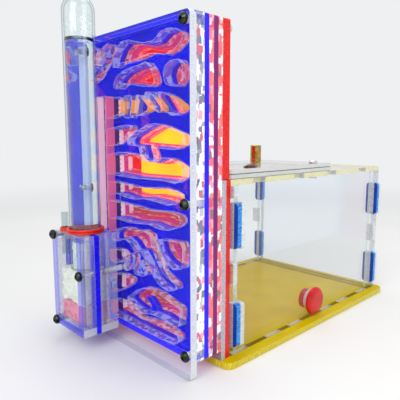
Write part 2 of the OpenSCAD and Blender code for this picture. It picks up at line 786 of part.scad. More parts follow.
// Turned brass knob with a spigot in the hatch and a bored mouth
module hatch_knob() {
    color("darkgoldenrod") in_place() translate([knob_x, knob_y, cover_z]) difference() {
        union() {
            cylinder(h = hatch_t + knob_h / 4, r = bolt_d / 2);
            translate([0, 0, hatch_t]) rotate_extrude() polygon([
                [0, 0], [knob_d / 2 - 0.3, 0], [knob_d / 2, 0.3], [knob_d / 2, knob_h - 0.4],
                [knob_d / 2 - 0.4, knob_h], [0, knob_h]
            ]);
        }
        translate([0, 0, hatch_t + knob_h * 0.55]) cylinder(h = knob_h, r = knob_d / 2 - 1.6);
    }
}

module hatch_plug() {
    color("darkred") in_place() {
        rod_z(pivot_x, vent_y, cover_z + 0.1, cover_top + 0.1, vent_d / 2);
        translate([pivot_x, vent_y, cover_top + 0.1]) dome_head(vent_d / 2 + 0.8, 1.5);
    }
}

// Rubber plug: a straight body in the wall and a domed flange outside
module wall_plug() {
    color("red") in_place() translate([half_w, port_y, port_z]) rotate([0, 90, 0]) {
        translate([0, 0, -wall_t - plug_in]) cylinder(h = wall_t + plug_in + 0.2, r = port_d / 2 - turn_fit);
        translate([0, 0, 0.1]) rotate_extrude() polygon([
            [0, 0], [flange_d / 2 - 0.4, 0], [flange_d / 2, 0.5], [flange_d / 2, flange_t * 0.45],
            [0.455 * flange_d, flange_t * 0.75], [0.35 * flange_d, flange_t * 0.93],
            [0.215 * flange_d, flange_t - 0.1], [0, flange_t - 0.1]
        ]);
    }
}

front_plate();
gallery_front();
gallery_blue();
gallery_middle();
gallery_purple();
gallery_rear();
floor_panel();
hydration_bar();
rear_cover();
joint_plate();
arena_red_plate();
entry_tube();
tower_bolts();
tower_nuts();
block_cover();
block_front_frame();
block_blue_frame();
block_rear_frame();
block_rear_plate();
pink_sponge();
cotton_wad();
block_bolts();
tube_seal();
straw_seal();
test_tube();
tube_water();
tube_cotton();
fill_straw();
arena_base();
near_wall();
near_keys();
near_inner_wall();
right_wall();
left_wall();
far_wall();
far_keys();
far_outer_wall();
wall_plug();
arena_lid();
hatch_frame();
hatch_screw();
hatch_cover();
hatch_knob();
hatch_plug();
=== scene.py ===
import math
import random

import bmesh
import bpy
from mathutils import Matrix, Vector, noise


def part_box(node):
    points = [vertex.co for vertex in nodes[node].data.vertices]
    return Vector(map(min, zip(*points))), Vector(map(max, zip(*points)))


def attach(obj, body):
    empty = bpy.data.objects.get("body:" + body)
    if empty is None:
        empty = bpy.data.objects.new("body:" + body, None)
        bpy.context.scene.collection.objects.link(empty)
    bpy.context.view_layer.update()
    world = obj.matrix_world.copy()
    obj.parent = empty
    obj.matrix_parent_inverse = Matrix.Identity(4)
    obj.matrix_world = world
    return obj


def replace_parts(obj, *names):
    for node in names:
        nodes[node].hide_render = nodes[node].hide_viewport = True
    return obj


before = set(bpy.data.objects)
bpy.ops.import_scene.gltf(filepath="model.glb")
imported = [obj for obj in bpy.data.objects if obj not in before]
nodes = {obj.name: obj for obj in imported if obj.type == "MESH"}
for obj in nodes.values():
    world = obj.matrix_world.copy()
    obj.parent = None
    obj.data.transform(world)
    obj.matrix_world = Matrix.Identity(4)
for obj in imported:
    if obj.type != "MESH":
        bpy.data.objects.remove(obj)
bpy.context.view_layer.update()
scene = bpy.context.scene
mm = 0.001
print("frame loaded:", len(nodes), "nodes")

# Camera: where the photograph was taken from, in mm, for a square picture
photoView = {"place": (202.4, -243.2, 116.0), "azimuth": 46.2, "down": 7.8, "focal": 40.05, "sensor": 36.0,
             "near": 0.005, "far": 20.0}


def makeCamera(look):
    data = bpy.data.cameras.new("photoCamera")
    data.sensor_width, data.lens = look["sensor"], look["focal"]
    data.clip_start, data.clip_end = look["near"], look["far"]
    camera = bpy.data.objects.new("photoCamera", data)
    scene.collection.objects.link(camera)
    a, d = math.radians(look["azimuth"]), math.radians(look["down"])
    ahead = Vector((-math.sin(a) * math.cos(d), math.cos(a) * math.cos(d), -math.sin(d)))
    camera.rotation_mode = "QUATERNION"
    camera.location = Vector(look["place"]) * mm
    camera.rotation_quaternion = ahead.to_track_quat("-Z", "Y")
    scene.camera = camera


makeCamera(photoView)
print("camera placed")

# Materials


def colour(text):
    # sRGB hex to linear
    parts = [int(text[i:i + 2], 16) / 255 for i in (1, 3, 5)]
    return [c / 12.92 if c <= 0.04045 else ((c + 0.055) / 1.055) ** 2.4 for c in parts] + [1.0]


def put(tree, kind, sockets=None, stops=(), **settings):
    # adds one node: settings are its own switches, stops are a ramp's tones, and each socket gets a value,
    # or the node or output that feeds it
    made = tree.nodes.new(kind)
    for name, value in settings.items():
        setattr(made, name, value)
    for socket, given in (sockets or {}).items():
        if isinstance(given, bpy.types.Node):
            given = given.outputs[0]
        if isinstance(given, bpy.types.NodeSocket):
            tree.links.new(given, made.inputs[socket])
        else:
            made.inputs[socket].default_value = given
    if stops:
        marks = made.color_ramp.elements
        while len(marks) < len(stops):
            marks.new(0.5)
        for mark, (place, tone) in zip(marks, stops):
            mark.position = place
            mark.color = colour(tone)
    return made


def newMaterial(name):
    made = bpy.data.materials.new(name)
    made.use_nodes = True
    made.node_tree.nodes.clear()
    return made, made.node_tree


def finished(made, surface):
    put(made.node_tree, "ShaderNodeOutputMaterial", {"Surface": surface})
    return made


def objectPlace(tree, turn=(0, 0, 0), scale=(1, 1, 1)):
    spot = put(tree, "ShaderNodeTexCoord").outputs["Object"]
    return put(tree, "ShaderNodeMapping", {"Vector": spot, "Rotation": turn, "Scale": scale})


boltHeights, boltWindow = (12, 86, 168), 2.1


def banded(tree, tone, share, bands):
    # a band: axis, middle and half width in mm, tone, share of the light stopped, then the heights where it
    # stays open for the bolts
    if not bands:
        return tone, share
    where = put(tree, "ShaderNodeSeparateXYZ", {0: objectPlace(tree)}).outputs
    for axis, middle, reach, hexTone, amount, *openHeights in bands:
        mask = put(tree, "ShaderNodeMath", {0: where[axis], 1: middle * mm, 2: reach * mm},
                   operation="COMPARE")
        for height in openHeights:
            gap = put(tree, "ShaderNodeMath", {0: where["Z"], 1: height * mm, 2: boltWindow * mm},
                      operation="COMPARE")
            mask = put(tree, "ShaderNodeMath", {0: mask, 1: gap}, operation="SUBTRACT", use_clamp=True)
        if hexTone:
            tone = put(tree, "ShaderNodeMix", {0: mask, 6: tone, 7: colour(hexTone)},
                       data_type="RGBA").outputs[2]
        stopped = put(tree, "ShaderNodeMath", {0: mask, 1: amount}, operation="MULTIPLY")
        share = put(tree, "ShaderNodeMath", {0: share, 1: stopped}, operation="MAXIMUM")
    return tone, share


# What all acrylic sheets share: how square to the sheet a broad face is, how steeply its gloss rises at a
# slant and its share head on, the laser's lines per metre, and the width, turn and glow of a pale painted
# highlight at a cut
sheetFinish = {"broad": 0.7, "slantPower": 5.0, "headOn": 0.045, "linesAlong": 400, "linesAcross": 5000,
               "imageShare": 0.8, "highlightWidth": 0.4, "highlightTurn": 0.97, "highlightGlow": 0.15}


# Cast acrylic, laser cut: a broad face is clear and glossy, a cut edge is brighter, with fine laser lines
def acrylic(name, thin, look):
    made, tree = newMaterial(name)
    finish = sheetFinish
    facing = put(tree, "ShaderNodeNewGeometry").outputs
    parts = put(tree, "ShaderNodeSeparateXYZ", {0: facing["Normal"]}).outputs
    square = put(tree, "ShaderNodeMath", {0: parts[thin]}, operation="ABSOLUTE")
    broad = put(tree, "ShaderNodeMath", {0: square, 1: finish["broad"]}, operation="GREATER_THAN")
    # gloss of both sides of a face: 4% head on, and more at a slant
    slant = put(tree, "ShaderNodeLayerWeight", {"Blend": 0.5}).outputs["Facing"]
    rise = put(tree, "ShaderNodeMath", {0: slant, 1: finish["slantPower"]}, operation="POWER")
    shine = put(tree, "ShaderNodeMath", {0: rise, 1: look["shine"], 2: look["shine"] * finish["headOn"]},
                operation="MULTIPLY_ADD")
    # the laser leaves a line about every 0.2 mm across the edge
    lines = [finish["linesAlong" if axis == thin else "linesAcross"] for axis in "XYZ"]
    grain = put(tree, "ShaderNodeTexNoise", {"Vector": objectPlace(tree, scale=lines), "Scale": 1.0,
                                             "Detail": 3.0})
    soft = put(tree, "ShaderNodeTexNoise", {"Vector": objectPlace(tree), "Scale": 60.0, "Detail": 2.0})
    edgeTone = put(tree, "ShaderNodeValToRGB", {"Fac": grain},
                   [(0.36, look["edgeDark"]), (0.5, look["edge"]), (0.66, look["edgeLight"])])
    faceTone = put(tree, "ShaderNodeValToRGB", {"Fac": soft}, [(0.3, look["bodyDark"]), (0.7, look["body"])])
    if "blocks" in look:  # images of the coloured sheets and of the room, broken up by the cut edge
        cells = put(tree, "ShaderNodeTexVoronoi", {"Vector": objectPlace(tree, scale=look["spread"]),
                                                   "Scale": 1.0, "Randomness": 0.9}, distance="CHEBYCHEV")
        cell = put(tree, "ShaderNodeSeparateColor", {0: cells.outputs["Color"]})
        tints = put(tree, "ShaderNodeValToRGB", {"Fac": cell}, look["blocks"])
        tints.color_ramp.interpolation = "CONSTANT"
        edgeTone = put(tree, "ShaderNodeMix", {0: finish["imageShare"], 6: edgeTone, 7: tints},
                       data_type="RGBA").outputs[2]
    edgeTone, edgeShare = banded(tree, edgeTone, look["edgeDensity"], look.get("bands"))
    if "mirror" in look:  # seen from inside the sheet, its edges mirror the coloured sheets behind it
        innerTone, innerShare = banded(tree, edgeTone, edgeShare, look["mirror"])
        inside = facing["Backfacing"]
        edgeTone = put(tree, "ShaderNodeMix", {0: inside, 6: edgeTone, 7: innerTone},
                       data_type="RGBA").outputs[2]
        edgeShare = put(tree, "ShaderNodeMix", {0: inside, 2: edgeShare, 3: innerShare})
    faceTone, faceShare = banded(tree, faceTone, look["density"], look.get("faceBands"))
    through = put(tree, "ShaderNodeBsdfTransparent", {"Color": colour(look["through"])})
    # painted glow: a coloured sheet emits a little light in its own colour, standing in for the lamps' light
    # that it carries in from its edges
    body = put(tree, "ShaderNodeBsdfPrincipled", {
        "Base Color": faceTone, "Roughness": 0.5, "Specular IOR Level": 0.0, "Emission Color": faceTone,
        "Emission Strength": look["glow"]})
    face = put(tree, "ShaderNodeMixShader", {0: faceShare, 1: through, 2: body})
    bump = put(tree, "ShaderNodeBump", {"Height": grain, "Strength": 0.25, "Distance": 0.0002})
    # painted glow on the cut edges as well: emission in the edge's own tone brightens edges that lie in shade
    edgeBody = put(tree, "ShaderNodeBsdfPrincipled", {
        "Base Color": edgeTone, "Roughness": 0.22, "Specular IOR Level": 0.25, "Emission Color": edgeTone,
        "Emission Strength": look["edgeGlow"], "Normal": bump})
    edge = put(tree, "ShaderNodeMixShader", {0: edgeShare, 1: through, 2: edgeBody})
    if "rim" in look:  # a pale painted highlight, with a little glow, lies where the bevelled normal turns away from the face
        rounded = put(tree, "ShaderNodeBevel", {"Radius": finish["highlightWidth"] * mm}, samples=4)
        turned = put(tree, "ShaderNodeVectorMath", {0: rounded, 1: facing["Normal"]},
                     operation="DOT_PRODUCT").outputs["Value"]
        near = put(tree, "ShaderNodeMath", {0: turned, 1: finish["highlightTurn"]}, operation="LESS_THAN")
        near = put(tree, "ShaderNodeMath", {0: near, 1: look["rimDensity"]}, operation="MULTIPLY")
        paintedHighlight = put(tree, "ShaderNodeBsdfPrincipled", {
            "Base Color": colour(look["rim"]), "Roughness": 0.4, "Emission Color": colour(look["rim"]),
            "Emission Strength": finish["highlightGlow"]})
        face = put(tree, "ShaderNodeMixShader", {0: near, 1: face, 2: paintedHighlight})
    both = put(tree, "ShaderNodeMixShader", {0: broad, 1: edge, 2: face})
    gloss = put(tree, "ShaderNodeBsdfGlossy", {"Roughness": 0.02, "Color": (1, 1, 1, 1)})
    return finished(made, put(tree, "ShaderNodeMixShader", {0: shine, 1: both, 2: gloss}))


# Where the bands of the looks lie, in mm: the nest's sides, its sponge column and its third row of galleries,
# the bars and the foot of the hydration block's blue frame, the hatch plates' seams, then the half widths of a
# band along a straight cut and along the column's wavy side
nestSides = (-55, 55)
columnLeft, columnRight = -30, -19.5
thirdRow = 133
barLeft, barRight, barFoot = -37.2, -9, 10.6
upperSeam, lowerSeam = 98.5, 96
edgeReach, sideReach = 0.4, 0.7
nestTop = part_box("front_plate")[1].z / mm
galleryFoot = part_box("gallery_front")[0].z / mm


def outer(hexTone, amount, *openHeights):
    # the two outside edges of the nest's plates
    return [("X", side, edgeReach, hexTone, amount, *openHeights) for side in nestSides]


# A look's tones: through for the light that passes, body for the broad faces, edge for the cut edges.
# A density is the share of the light that the surface stops
# A glow and an edge glow are painted glow, emission in the sheet's own tone; a rim is a painted highlight
# along a cut
clearLook = {"through": "#fdfeff", "body": "#e6eef0", "bodyDark": "#dbe5e8", "density": 0.008,
             "shine": 0.3, "edge": "#edf1f3", "edgeDark": "#d8dee2", "edgeLight": "#ffffff",
             "edgeDensity": 0.5, "glow": 0.0, "edgeGlow": 0.0}
blockLook = dict(clearLook, shine=0.35, density=0.004, edgeDensity=0.26, spread=(700, 500, 14),
                 rim="#aab2bc", rimDensity=0.55, bands=[("Z", barFoot, 2.1, "#dde3e4", 0.72)],
                 blocks=[(0.0, "#ffffff"), (0.3, "#9aa0a4"), (0.45, "#eef2f3"), (0.62, "#6f757a"),
                         (0.72, "#f7f9fa"), (0.88, "#a9a6e6")])
# thick acrylic brings the blue frame's image up behind the cover's edges
coverLook = dict(blockLook, faceBands=[("X", barLeft, 2.3, "#5c54ee", 0.5),
                                       ("X", barRight, 2.5, "#4a42ea", 0.5),
                                       ("Z", barFoot, 2.2, "#3c34e6", 0.6)])
topMirror = [("Z", nestTop, edgeReach, "#1c14ff", 0.96)]
frontLook = dict(clearLook, shine=0.12, edge="#e6eaee", edgeDark="#c6cdd4", edgeLight="#f6f8fa",
                 edgeDensity=0.9, rim="#9c9abc", rimDensity=0.75, mirror=topMirror)
# painted reflections: the clear cut edges beside the sponge column are painted pinkish white and pink, as
# images of the pink sponge and the light
columnEdges = [("X", columnLeft, edgeReach, "#ffe3ee", 0.95), ("X", columnRight, sideReach, "#e0649c", 0.85)]
nestLook = dict(clearLook, shine=0.04, density=0.0, edgeGlow=0.26, edgeDensity=0.34, rim="#e4e6ff",
                rimDensity=0.8, spread=(450, 480, 280),
                mirror=[("Z", thirdRow, 3.4, "#ffac30", 0.9), ("Z", galleryFoot, edgeReach, "#1c14ff", 0.92)]
                + topMirror + columnEdges + outer("#dfe4f2", 0.6),
                blocks=[(0.0, "#f4f5f7"), (0.2, "#83878f"), (0.33, "#fafbfc"), (0.46, "#cc1a22"),
                        (0.58, "#b4b8be"), (0.68, "#4e505a"), (0.77, "#ff9aa0"), (0.84, "#ffffff"),
                        (0.93, "#1f1d26")],
                bands=columnEdges + outer("", 0.88, *boltHeights))
rearLook = dict(nestLook, rimDensity=0.5, edgeDensity=0.5, mirror=[("Z", thirdRow, 6.2, "#ffb428", 0.85)],
                blocks=[(0.0, "#ffe6ea"), (0.16, "#ff3428"), (0.42, "#ff8ab0"), (0.55, "#e01424"),
                        (0.7, "#ffffff"), (0.84, "#ff5a2c"), (0.92, "#5c2c40")],
                # painted reflections of the sponge column on the clear edges, pink and white here
                bands=[("X", columnLeft, edgeReach, "#e889b0", 0.93),
                       ("X", columnRight, sideReach, "#f4f2f8", 0.93)] + outer("", 0.88, *boltHeights))
# painted light: the walls' lowest 3.5 mm, down in the base's slots, are painted pale for the light that the
# tabs' edges catch
wallLook = dict(clearLook, shine=0.6, density=0.01, edgeDensity=0.75, edge="#dbe2e5", edgeDark="#b4c0c5",
                edgeLight="#f4f8f9", faceBands=[("Z", 1.7, 1.75, "#f6f2dc", 0.8)])
hatchLook = dict(clearLook, shine=0.8, density=0.1, edge="#d6d8d6", edgeDark="#c4c7c4", edgeLight="#e8eae8",
                 edgeDensity=0.88, bands=[("Z", upperSeam, 0.3, "#6f7472", 0.95),
                                          ("Z", lowerSeam, 0.25, "#7c807a", 0.95)])
lidLook = dict(clearLook, shine=0.6, edge="#e3dfae", edgeDark="#d0cb92", edgeLight="#f4f1cc", density=0.04,
               edgeDensity=0.9)
frostLook = dict(clearLook, body="#c9ccd2", bodyDark="#a9acb4", density=0.35, edge="#b7bac6",
                 edgeDark="#9a9dad", edgeLight="#d0d3de", edgeDensity=0.92)
blueLook = {"through": "#2a3cff", "body": "#0d08f2", "bodyDark": "#0a05cc", "density": 0.96,
            "shine": 0.16, "edge": "#120aee", "edgeDark": "#0a06b0", "edgeLight": "#2c26ff",
            "edgeDensity": 0.97, "glow": 0.17, "edgeGlow": 0.16, "rim": "#b9b4ff", "rimDensity": 0.6,
            # painted shade: the blue edge along the column's wavy side is painted dark violet, the shaded
            # image of the pink sponge
            "bands": [("X", columnRight, sideReach, "#2c1470", 0.95)]}
keyLook = {"through": "#6aa8f0", "body": "#0c4cb0", "bodyDark": "#083690", "density": 0.9,
           "shine": 0.4, "edge": "#1480e0", "edgeDark": "#0a3ca0", "edgeLight": "#4cb8f8",
           "edgeDensity": 0.95, "glow": 0.12, "edgeGlow": 0.12}
purpleLook = {"through": "#ff70c8", "body": "#d82c9c", "bodyDark": "#c82a98", "density": 0.62,
              "shine": 0.2, "edge": "#e048b8", "edgeDark": "#a82890", "edgeLight": "#ff80d0",
              "edgeDensity": 0.8, "glow": 0.3, "edgeGlow": 0.2, "bands": outer("#74146a", 0.97)}
redLook = {"through": "#ff5a50", "body": "#ee121e", "bodyDark": "#e0101a", "density": 0.88,
           "shine": 0.3, "edge": "#de0a0e", "edgeDark": "#a8060c", "edgeLight": "#f22a20",
           "edgeDensity": 0.95, "glow": 0.45, "edgeGlow": 0.12}
yellowLook = {"through": "#ffe46a", "body": "#ffc21a", "bodyDark": "#ffb014", "density": 0.94,
              "shine": 0.2, "edge": "#f6d43a", "edgeDark": "#b98f0a", "edgeLight": "#fff080",
              "edgeDensity": 0.92, "glow": 1.0, "edgeGlow": 0.3}
baseLook = {"through": "#e8d84a", "body": "#d2b800", "bodyDark": "#c6ac00", "density": 0.9,
            "shine": 0.2, "edge": "#d8c010", "edgeDark": "#b09a08", "edgeLight": "#f4e64a",
            "edgeDensity": 0.92, "glow": 0.1, "edgeGlow": 0.05}


# Moulded rubber and silicone: soft sheen and a faint grain
def rubber(name, tone, dark, rough):
    made, tree = newMaterial(name)
    place = objectPlace(tree)
    wide = put(tree, "ShaderNodeTexNoise", {"Vector": place, "Scale": 150.0})
    tint = put(tree, "ShaderNodeValToRGB", {"Fac": wide}, [(0.35, dark), (0.65, tone)])
    grain = put(tree, "ShaderNodeTexNoise", {"Vector": place, "Scale": 900.0, "Detail": 4.0})
    bump = put(tree, "ShaderNodeBump", {"Height": grain, "Strength": 0.12, "Distance": 0.0001})
    return finished(made, put(tree, "ShaderNodeBsdfPrincipled", {
        "Base Color": tint, "Roughness": rough, "IOR": 1.43, "Subsurface Weight": 0.08,
        "Subsurface Radius": (0.002, 0.0006, 0.0004), "Normal": bump}))


# Where the screws' heads end along Y, and the drawn pitch of the thread, in mm
screwShape = {"towerHead": -108.2, "blockHead": -130.2, "pitch": 0.8}


# Steel screw: blackened domed head, and a bright shaft whose thread is 0.5 mm, drawn at 0.8 mm to show
def screwSteel(name, headEnd):
    made, tree = newMaterial(name)
    spot = put(tree, "ShaderNodeTexCoord").outputs["Object"]
    along = put(tree, "ShaderNodeSeparateXYZ", {0: spot}).outputs["Y"]
    head = put(tree, "ShaderNodeMath", {0: along, 1: headEnd * mm}, operation="LESS_THAN")
    shaft = put(tree, "ShaderNodeMath", {0: 1.0, 1: head}, operation="SUBTRACT")
    turns = put(tree, "ShaderNodeMath", {0: along, 1: math.tau / (screwShape["pitch"] * mm)},
                operation="MULTIPLY")
    thread = put(tree, "ShaderNodeMath", {0: turns}, operation="SINE")
    height = put(tree, "ShaderNodeMath", {0: thread, 1: shaft}, operation="MULTIPLY")
    bump = put(tree, "ShaderNodeBump", {"Height": height, "Strength": 0.7, "Distance": 0.0002})
    wear = put(tree, "ShaderNodeTexNoise", {"Vector": spot, "Scale": 700.0, "Detail": 3.0})
    headTone = put(tree, "ShaderNodeValToRGB", {"Fac": wear}, [(0.35, "#171c17"), (0.7, "#4c554a")])
    shaftTone = put(tree, "ShaderNodeValToRGB", {"Fac": wear}, [(0.35, "#9a9ca0"), (0.7, "#e2e4e6")])
    tone = put(tree, "ShaderNodeMix", {0: head, 6: shaftTone, 7: headTone}, data_type="RGBA").outputs[2]
    return finished(made, put(tree, "ShaderNodeBsdfPrincipled", {
        "Base Color": tone, "Metallic": 1.0, "Roughness": 0.24, "Normal": bump}))


# Plated or turned metal with light handling marks, and a lathe's rings where a pitch in mm is given
def plainMetal(name, low, high, rough, ringPitch=0.0):
    made, tree = newMaterial(name)
    place = objectPlace(tree)
    wear = put(tree, "ShaderNodeTexNoise", {"Vector": place, "Scale": 500.0, "Detail": 4.0})
    tone = put(tree, "ShaderNodeValToRGB", {"Fac": wear}, [(0.3, low), (0.7, high)])
    height = wear
    if ringPitch:  # the wave texture takes the sine of 20 times a place
        height = put(tree, "ShaderNodeTexWave", {"Vector": place, "Scale": math.tau / (ringPitch * mm) / 20,
                                                 "Distortion": 0.4}, bands_direction="Z").outputs["Fac"]
    bump = put(tree, "ShaderNodeBump", {"Height": height, "Strength": 0.2, "Distance": 0.0001})
    return finished(made, put(tree, "ShaderNodeBsdfPrincipled", {
        "Base Color": tone, "Metallic": 1.0, "Roughness": rough, "Normal": bump}))


# Drawn glass or plastic tube: a thin wall that hardly bends the view, with bright, slightly grey rims
def thinWall(name, tint, rim, strength):
    made, tree = newMaterial(name)
    slant = put(tree, "ShaderNodeLayerWeight", {"Blend": 0.5}).outputs["Facing"]
    steep = put(tree, "ShaderNodeMath", {0: slant, 1: 3.0}, operation="POWER")
    share = put(tree, "ShaderNodeMath", {0: steep, 1: strength, 2: 0.03}, operation="MULTIPLY_ADD")
    dimming = put(tree, "ShaderNodeValToRGB", {"Fac": steep}, [(0.1, tint), (0.9, rim)])
    through = put(tree, "ShaderNodeBsdfTransparent", {"Color": dimming})
    streak = put(tree, "ShaderNodeTexNoise", {"Vector": objectPlace(tree, scale=(400, 400, 8)),
                                              "Scale": 1.0, "Detail": 2.0})
    bump = put(tree, "ShaderNodeBump", {"Height": streak, "Strength": 0.05, "Distance": 0.0001})
    gloss = put(tree, "ShaderNodeBsdfGlossy", {"Roughness": 0.03, "Color": (1, 1, 1, 1), "Normal": bump})
    return finished(made, put(tree, "ShaderNodeMixShader", {0: share, 1: through, 2: gloss}))


# Clean water, in a column or in drops: it bends the view
def clearWater(name, tint):
    made, tree = newMaterial(name)
    ripple = put(tree, "ShaderNodeTexNoise", {"Vector": objectPlace(tree, scale=(1, 1, 0.2)),
                                              "Scale": 40.0, "Detail": 1.0})
    bump = put(tree, "ShaderNodeBump", {"Height": ripple, "Strength": 0.02, "Distance": 0.0002})
    return finished(made, put(tree, "ShaderNodeBsdfPrincipled", {
        "Base Color": colour(tint), "Roughness": 0.0, "IOR": 1.33, "Transmission Weight": 1.0,
        "Normal": bump}))


# Cellulose sponge: open pores of 0.4 to 1 mm, painted darker where they are wet, and with painted shade where
# they are deep
def spongeFoam(name, light, wetAndShaded):
    made, tree = newMaterial(name)
    place = objectPlace(tree)
    pores = put(tree, "ShaderNodeTexVoronoi", {"Vector": place, "Scale": 1200.0}, feature="SMOOTH_F1")
    wide = put(tree, "ShaderNodeTexNoise", {"Vector": place, "Scale": 260.0, "Detail": 5.0})
    fine = put(tree, "ShaderNodeMath", {0: pores.outputs["Distance"], 1: 0.55}, operation="MULTIPLY")
    depth = put(tree, "ShaderNodeMath", {0: fine, 1: wide}, operation="ADD")
    tone = put(tree, "ShaderNodeValToRGB", {"Fac": depth}, [(0.45, light), (0.75, light), (1.0, wetAndShaded)])
    bump = put(tree, "ShaderNodeBump", {"Height": depth, "Strength": 0.6, "Distance": 0.0004}, invert=True)
    return finished(made, put(tree, "ShaderNodeBsdfPrincipled", {
        "Base Color": tone, "Roughness": 0.75, "Subsurface Weight": 0.25,
        "Subsurface Radius": (0.003, 0.001, 0.001), "Normal": bump}))


# Cotton wool: loose matt fibres, drawn as long fine noise in two directions
def cottonWool(name):
    made, tree = newMaterial(name)
    level = put(tree, "ShaderNodeTexNoise", {
        "Vector": objectPlace(tree, (0.3, 0.2, 0.5), (300, 300, 1500)), "Scale": 1.0, "Detail": 6.0,
        "Distortion": 1.5})
    upright = put(tree, "ShaderNodeTexNoise", {
        "Vector": objectPlace(tree, (0.9, 0.4, 0.1), (1500, 300, 300)), "Scale": 1.0, "Detail": 6.0,
        "Distortion": 1.5})
    fibres = put(tree, "ShaderNodeMath", {0: level, 1: upright}, operation="ADD")
    tone = put(tree, "ShaderNodeValToRGB", {"Fac": fibres},
               [(0.7, "#ccd6bc"), (1.0, "#e9f0dc"), (1.25, "#f8fbee")])
    bump = put(tree, "ShaderNodeBump", {"Height": fibres, "Strength": 0.8, "Distance": 0.0005})
    return finished(made, put(tree, "ShaderNodeBsdfPrincipled", {
        "Base Color": tone, "Roughness": 0.95, "Subsurface Weight": 0.4, "Sheen Weight": 0.4,
        "Subsurface Radius": (0.003, 0.003, 0.003), "Normal": bump}))


clearUpright = acrylic("clearCastAcrylicBlock", "Y", blockLook)
blockCover = acrylic("clearCastAcrylicBlockCover", "Y", coverLook)
nestFront = acrylic("clearCastAcrylicNestFront", "Y", frontLook)
nestClear = acrylic("clearCastAcrylicNest", "Y", nestLook)
nestRear = acrylic("clearCastAcrylicNestRear", "Y", rearLook)
clearEnd = acrylic("clearCastAcrylicEnd", "Y", wallLook)
clearSide = acrylic("clearCastAcrylicSide", "X", wallLook)
clearHatch = acrylic("clearCastAcrylicHatch", "Z", hatchLook)
clearLid = acrylic("paleCastAcrylicLid", "Z", lidLook)
frosted = acrylic("frostedAcrylic", "Y", frostLook)
blue = acrylic("blueCastAcrylic", "Y", blueLook)
azure = acrylic("azureCastAcrylic", "Y", keyLook)
purple = acrylic("purpleCastAcrylic", "Y", purpleLook)
red = acrylic("redCastAcrylic", "Y", redLook)
yellowPanel = acrylic("yellowCastAcrylicPanel", "Y", yellowLook)
yellowBase = acrylic("yellowCastAcrylicBase", "Z", baseLook)
redSilicone = rubber("redMouldedSilicone", "#d80a08", "#b80605", 0.22)
orangeSilicone = rubber("orangeRedSilicone", "#f4330c", "#d8220a", 0.3)
darkRubber = rubber("darkRedRubber", "#5a0c10", "#3c080c", 0.4)
towerSteel = screwSteel("blackenedScrewSteelTower", screwShape["towerHead"])
blockSteel = screwSteel("blackenedScrewSteelBlock", screwShape["blockHead"])
zincSteel = plainMetal("zincPlatedSteel", "#b4b7ba", "#e6e8ea", 0.25)
turnedBrass = plainMetal("turnedBrass", "#8f7334", "#c8a95c", 0.26, 3.77)  # rings drawn coarse, to show
tubeGlass = thinWall("borosilicateGlass", "#fafdfd", "#8f9ba3", 0.55)
strawPlastic = thinWall("clearPolypropyleneTube", "#eef3f4", "#87939a", 0.45)
cleanWater = clearWater("cleanWater", "#f2f8fb")
dropWater = clearWater("waterDroplets", "#ffffff")
pinkSponge = spongeFoam("pinkCelluloseSponge", "#e98fa8", "#a83a62")
whiteCotton = cottonWool("cottonWool")


def dress(material, *names):
    for name in names:
        nodes[name].data.materials.clear()
        nodes[name].data.materials.append(material)


dress(nestFront, "front_plate")
dress(blockCover, "block_cover")
dress(clearUpright, "block_front_frame", "block_rear_frame", "block_rear_plate")
dress(nestClear, "gallery_front")
dress(nestRear, "gallery_middle", "gallery_rear")
dress(clearEnd, "near_wall", "near_inner_wall", "far_wall", "far_outer_wall")
dress(clearSide, "right_wall", "left_wall")
dress(clearLid, "arena_lid")
dress(clearHatch, "hatch_frame", "hatch_cover")
dress(frosted, "joint_plate")
dress(blue, "gallery_blue", "block_blue_frame")
dress(azure, "near_keys", "far_keys")
dress(purple, "gallery_purple")
dress(red, "rear_cover", "arena_red_plate")
dress(yellowPanel, "floor_panel")
dress(yellowBase, "arena_base")
dress(redSilicone, "wall_plug")
dress(orangeSilicone, "straw_seal")
dress(darkRubber, "hatch_plug")
dress(towerSteel, "tower_bolts")
dress(blockSteel, "block_bolts")
dress(zincSteel, "tower_nuts", "hatch_screw")
dress(turnedBrass, "hatch_knob")
dress(tubeGlass, "test_tube")
dress(strawPlastic, "fill_straw", "entry_tube")
print("materials made:", len(bpy.data.materials))

# Pieces


def addPiece(name, mesh, material, body):
    made = bpy.data.meshes.new(name)
    mesh.normal_update()
    mesh.to_mesh(made)
    mesh.free()
    made.materials.append(material)
    made.shade_smooth()
    piece = bpy.data.objects.new(name, made)
    scene.collection.objects.link(piece)
    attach(piece, body)
    return piece


# The skin's noise: roughness, gap between its octaves, their number, and how far it is sunk in all
skinNoise, skinSink = (0.8, 2.0, 4), 0.15


# A soft block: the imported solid's own shape, remeshed fine, with its skin raised and sunk by noise
def softPiece(name, node, look, material, body):
    start = bmesh.new()
    start.from_mesh(nodes[node].data)
    bmesh.ops.remove_doubles(start, verts=start.verts, dist=0.02 * mm)
    piece = addPiece(name, start, material, body)
    remesh = piece.modifiers.new("even", "REMESH")
    remesh.mode, remesh.voxel_size = "VOXEL", look["voxel"] * mm
    bpy.context.view_layer.update()
    even = bpy.data.meshes.new_from_object(piece.evaluated_get(bpy.context.evaluated_depsgraph_get()))
    piece.modifiers.clear()
    low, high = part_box(node)
    mesh = bmesh.new()
    mesh.from_mesh(even)
    for turn in range(look["soften"]):
        bmesh.ops.smooth_vert(mesh, verts=mesh.verts, factor=0.5, use_axis_x=True, use_axis_y=True,
                              use_axis_z=True)
    mesh.normal_update()
    for v in mesh.verts:
        lift = noise.fractal(v.co * look["lumps"], *skinNoise) - skinSink
        place = v.co + v.normal * lift * look["depth"] * mm
        v.co = Vector(min(max(place[i], low[i]), high[i]) for i in range(3))
    mesh.to_mesh(piece.data)
    mesh.free()
    piece.data.shade_smooth()
    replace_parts(piece, node)


